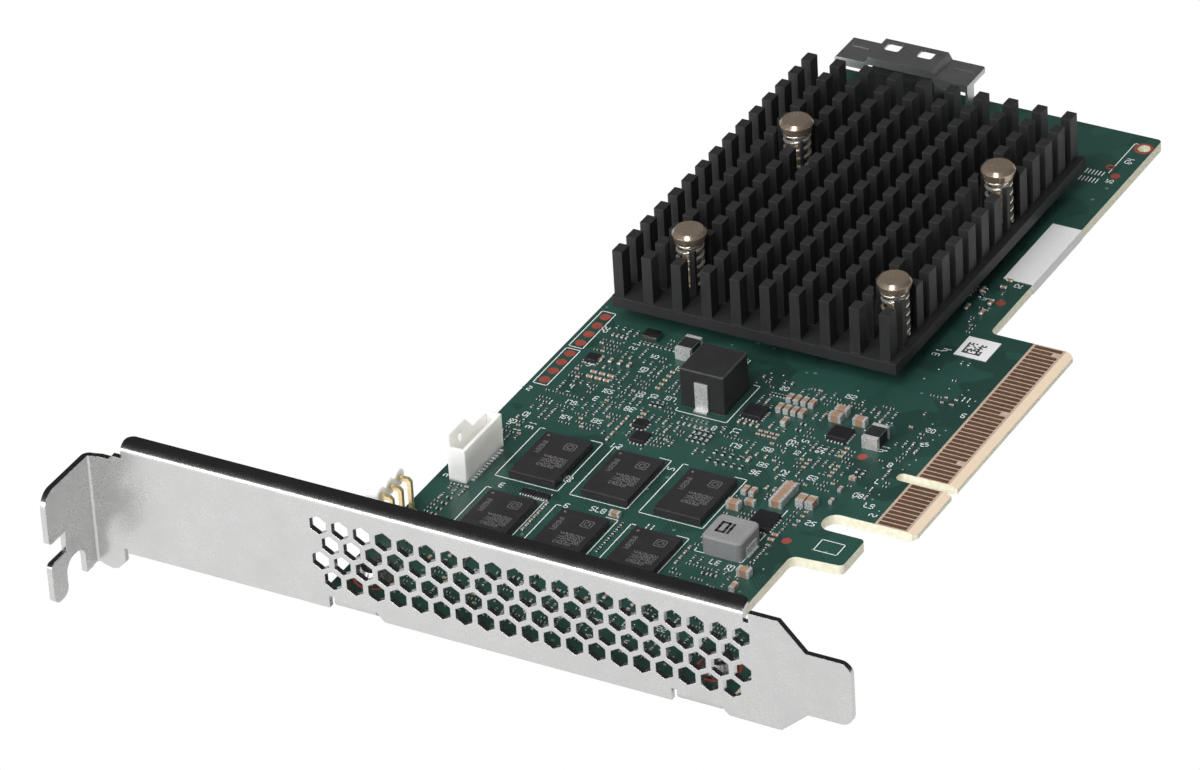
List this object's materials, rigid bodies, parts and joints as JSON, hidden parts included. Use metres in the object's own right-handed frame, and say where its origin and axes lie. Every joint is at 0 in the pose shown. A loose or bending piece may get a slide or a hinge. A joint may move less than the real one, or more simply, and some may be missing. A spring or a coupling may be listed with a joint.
{
  "type": "storage controller expansion card",
  "caption": "Storage controller card with an edge connector, vented slot bracket, pin-fin heatsink on sprung push pins, memory packages and a low-profile cable connector.",
  "frame": {"origin": "on the board's component face, at the middle of the edge connector's key slot, level with the outer ends of the contacts", "axes": "+X out of the edge connector, +Y along the board away from the bracket, +Z away from the component face"},
  "size_m": [0.1208, 0.1687, 0.0219],
  "materials": {
    "board": "green solder mask over glass-fibre laminate, cream routed edges",
    "contact_gold": "hard gold plate over nickel",
    "pin_gold": "bright gold plate",
    "bracket_steel": "satin nickel-plated steel",
    "screw_steel": "bright zinc plate",
    "package_laminate": "package laminate",
    "lid_metal": "matt nickel plate",
    "thermal_pad": "soft grey silicone",
    "heatsink": "black anodised",
    "push_pin_metal": "brown-tinted nickel plate over brass",
    "spring_steel": "drawn spring wire",
    "memory_epoxy": "moulded black epoxy",
    "chip_epoxy": "moulded black epoxy",
    "ferrite": "dark pressed ferrite",
    "iron_powder": "grey pressed iron-powder composite",
    "tinned_terminal": "matt tin plate",
    "capacitor_ceramic": "fired tan ceramic",
    "white_nylon": "cream-white nylon",
    "cage_steel": "stamped plated steel",
    "black_plastic": "black liquid-crystal polymer",
    "bare_copper": "bare copper under flux",
    "label_paper": "blank matt label stock"
  },
  "bodies": {
    "root": {"board": "board", "bracket": "bracket_steel", "bracket_screws": "screw_steel", "cable_cage": "cage_steel", "cable_housing": "black_plastic", "cable_tails": "tinned_terminal", "capacitor_ends": "tinned_terminal", "capacitors": "capacitor_ceramic", "clock_can": "lid_metal", "code_label": "label_paper", "contacts_component_side": "contact_gold", "contacts_solder_side": "contact_gold", "controller_lid": "lid_metal", "controller_substrate": "package_laminate", "converter_1": "chip_epoxy", "converter_2": "chip_epoxy", "converter_3": "chip_epoxy", "flash_memory": "chip_epoxy", "header_pads": "bare_copper", "heatsink": "heatsink", "led_driver": "chip_epoxy", "logic_chip": "chip_epoxy", "memory_chip_1": "memory_epoxy", "memory_chip_2": "memory_epoxy", "memory_chip_3": "memory_epoxy", "memory_chip_4": "memory_epoxy", "memory_chip_5": "memory_epoxy", "memory_chip_6": "memory_epoxy", "moulded_inductor": "iron_powder", "moulded_inductor_terminals": "tinned_terminal", "power_inductor": "ferrite", "power_inductor_terminals": "tinned_terminal", "power_switch": "chip_epoxy", "push_pin_1": "push_pin_metal", "push_pin_2": "push_pin_metal", "push_pin_3": "push_pin_metal", "push_pin_4": "push_pin_metal", "resistor_networks": "chip_epoxy", "side_header_insulator": "white_nylon", "side_header_pins": "pin_gold", "signal_header_contacts": "tinned_terminal", "signal_header_housing": "white_nylon", "small_inductor_ends": "tinned_terminal", "small_inductors": "ferrite", "spring_1": "spring_steel", "spring_2": "spring_steel", "spring_3": "spring_steel", "spring_4": "spring_steel", "sticker": "label_paper", "test_pads": "bare_copper", "thermal_pad": "thermal_pad", "underside_capacitor_ends": "tinned_terminal", "underside_capacitors": "capacitor_ceramic"}
  },
  "joints": []
}
